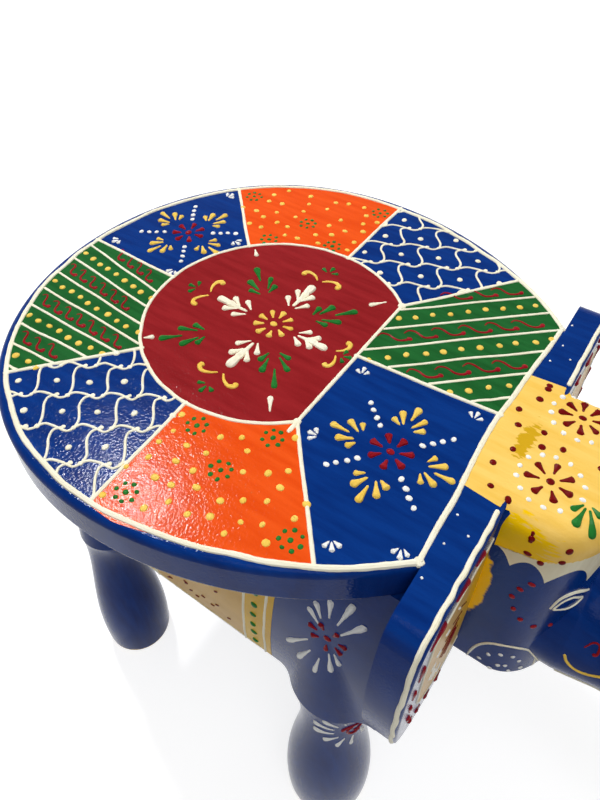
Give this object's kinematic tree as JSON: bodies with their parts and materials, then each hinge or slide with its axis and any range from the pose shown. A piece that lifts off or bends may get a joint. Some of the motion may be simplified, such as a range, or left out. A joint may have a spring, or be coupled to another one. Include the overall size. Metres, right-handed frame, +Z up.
{
  "type": "carved elephant stool",
  "caption": "Round hand-painted wooden seat on a carved elephant: flat seat board, ear plank, head with trunk, and a body on four round legs.",
  "frame": {"origin": "on the floor, in the middle of the whole object's footprint", "axes": "+X the way the elephant faces, +Y its left side, +Z up"},
  "size_m": [0.429, 0.2702, 0.305],
  "materials": {
    "seat_paint": "gloss enamel on wood",
    "blue_paint": "gloss enamel on wood",
    "bare_wood": "plain turned dowel",
    "steel_pin": "plain wire nail"
  },
  "bodies": {
    "root": {"seat_board": "seat_paint", "ear_plank": "blue_paint", "head": "blue_paint", "trunk": "blue_paint", "torso": "blue_paint", "tail": "blue_paint", "front_right_leg": "blue_paint", "front_left_leg": "blue_paint", "rear_right_leg": "blue_paint", "rear_left_leg": "blue_paint", "seat_dowels": "bare_wood", "leg_dowels": "bare_wood", "plank_dowels": "bare_wood", "neck_dowels": "bare_wood", "trunk_dowel": "bare_wood", "tail_pins": "steel_pin"}
  },
  "joints": []
}
